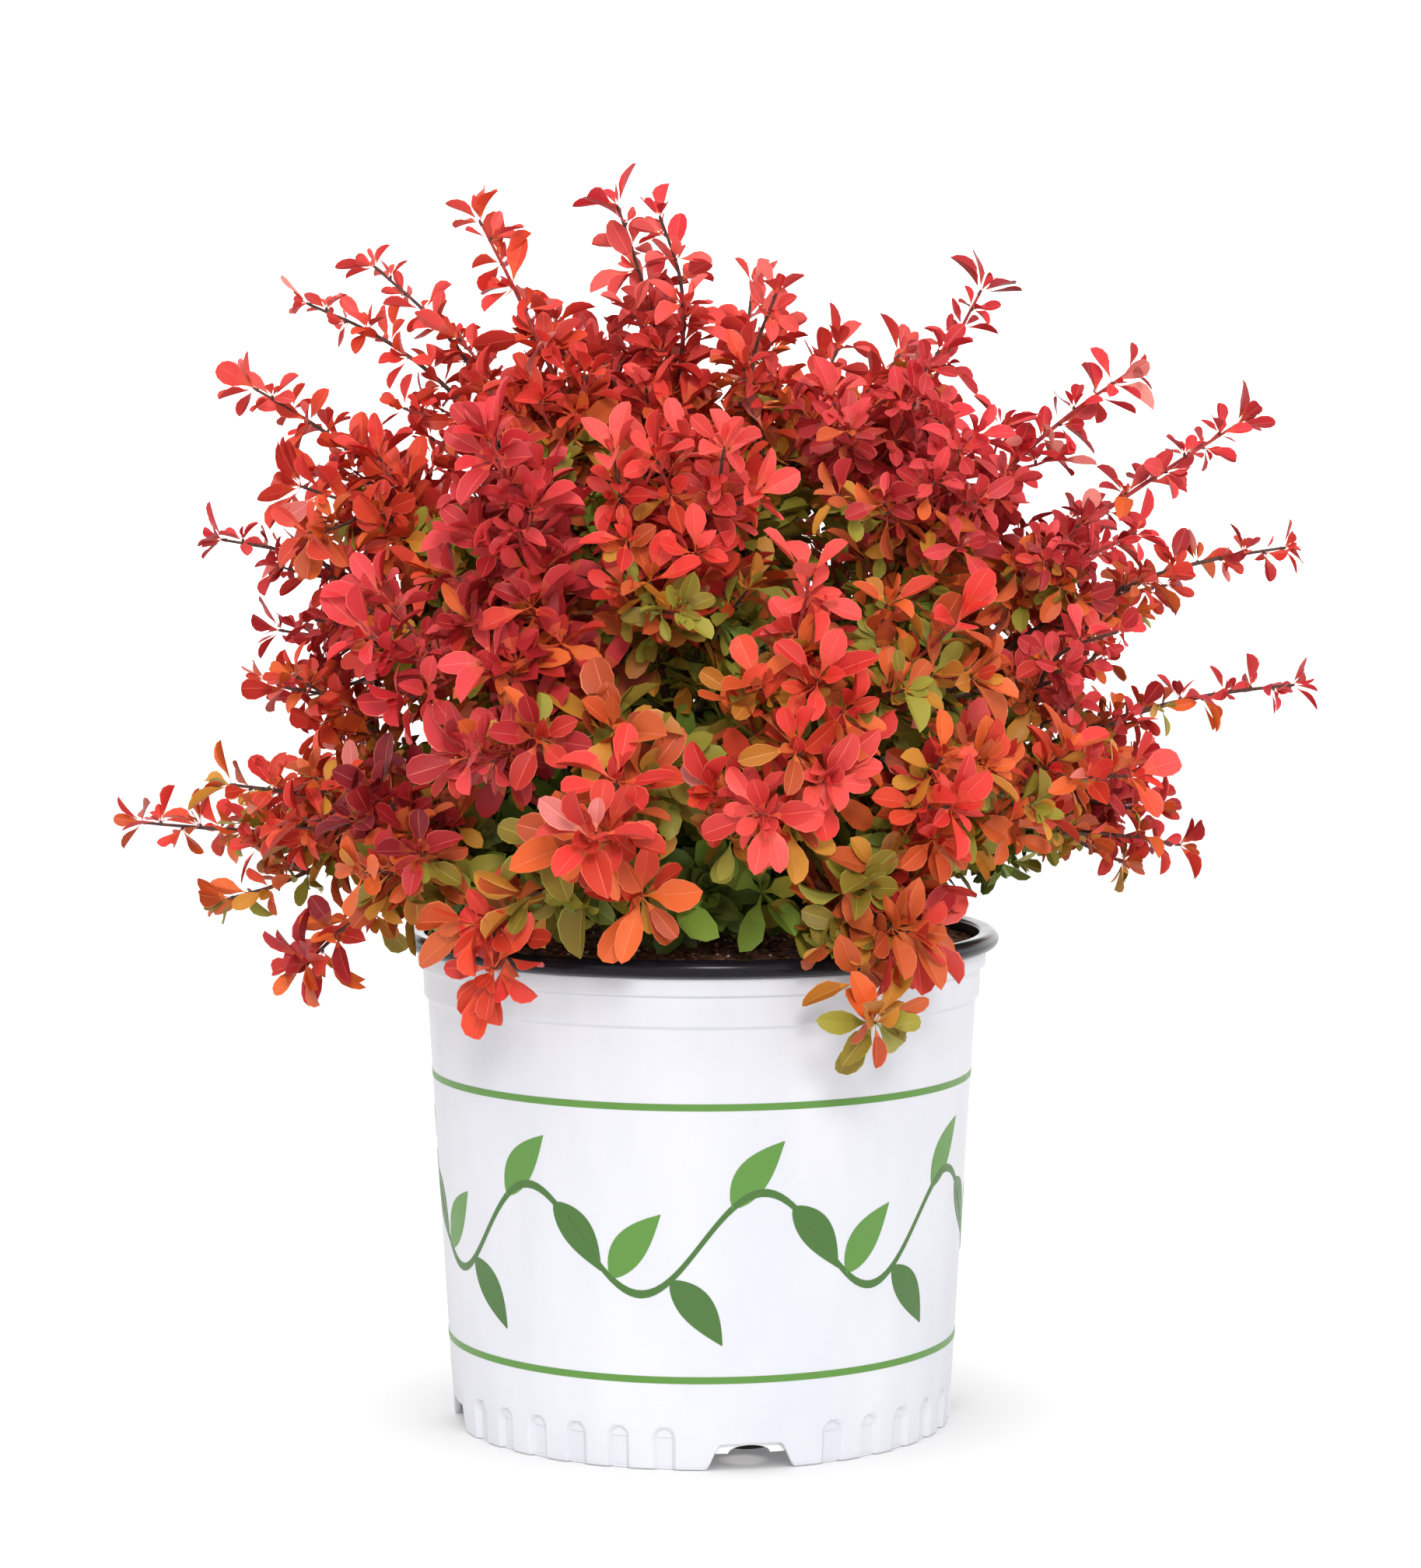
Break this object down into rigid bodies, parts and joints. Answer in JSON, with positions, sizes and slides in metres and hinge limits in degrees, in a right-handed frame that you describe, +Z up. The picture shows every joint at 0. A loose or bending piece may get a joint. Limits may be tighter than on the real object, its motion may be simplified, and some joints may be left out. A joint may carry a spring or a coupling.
{
  "type": "potted japanese barberry shrub",
  "caption": "Low rounded barberry shrub in coral, orange and green leaf, in a white nursery pot with a black rolled lip.",
  "frame": {"origin": "centre of the pot's underside, at the level it stands on", "axes": "+Z up along the pot's axis, front of the plant towards -Y"},
  "size_m": [0.4747, 0.4008, 0.4837],
  "materials": {
    "pot_white": "satin moulded white plastic",
    "lip_black": "glossy black rolled rim",
    "potting_soil": "moist bark and peat mix with white flecks",
    "bark": "dull brown bark with fine ridges",
    "leaf_coral": "smooth coral leaf",
    "leaf_scarlet": "smooth scarlet leaf",
    "leaf_orange": "smooth orange leaf",
    "leaf_green": "smooth olive green leaf"
  },
  "bodies": {
    "root": {"pot": "pot_white", "pot_lip": "lip_black", "potting_soil": "potting_soil", "root_crown": "bark", "cane_top_left": "bark", "foliage_top_left": "leaf_coral", "cane_top_left_outer": "bark", "foliage_top_left_outer": "leaf_coral", "cane_left_upper": "bark", "foliage_left_upper": "leaf_coral", "cane_left_shoulder": "bark", "foliage_left_shoulder": "leaf_coral", "cane_left_long": "bark", "foliage_left_long": "leaf_scarlet", "cane_left_low": "bark", "foliage_left_low": "leaf_orange", "cane_left_lowest": "bark", "foliage_left_lowest": "leaf_green", "cane_left_droop": "bark", "foliage_left_droop": "leaf_green", "cane_front_left": "bark", "foliage_front_left": "leaf_scarlet", "cane_front_top": "bark", "foliage_front_top": "leaf_scarlet", "cane_front_low": "bark", "foliage_front_low": "leaf_orange", "cane_front_upright": "bark", "foliage_front_upright": "leaf_scarlet", "cane_front_right": "bark", "foliage_front_right": "leaf_orange", "cane_front_droop": "bark", "foliage_front_droop": "leaf_green", "cane_right_top": "bark", "foliage_right_top": "leaf_coral", "cane_right_top_inner": "bark", "foliage_right_top_inner": "leaf_coral", "cane_right_upper": "bark", "foliage_right_upper": "leaf_coral", "cane_right_shoulder": "bark", "foliage_right_shoulder": "leaf_scarlet", "cane_right_long": "bark", "foliage_right_long": "leaf_scarlet", "cane_right_low": "bark", "foliage_right_low": "leaf_orange", "cane_right_lowest": "bark", "foliage_right_lowest": "leaf_green", "cane_back_right": "bark", "foliage_back_right": "leaf_scarlet", "cane_back_middle": "bark", "foliage_back_middle": "leaf_scarlet", "cane_back_left": "bark", "foliage_back_left": "leaf_scarlet", "cane_back_low": "bark", "foliage_back_low": "leaf_green", "cane_back_top": "bark", "foliage_back_top": "leaf_coral", "foliage_skirt_front": "leaf_green", "foliage_skirt_right": "leaf_green", "foliage_skirt_back": "leaf_green", "foliage_skirt_left": "leaf_green"}
  },
  "joints": []
}
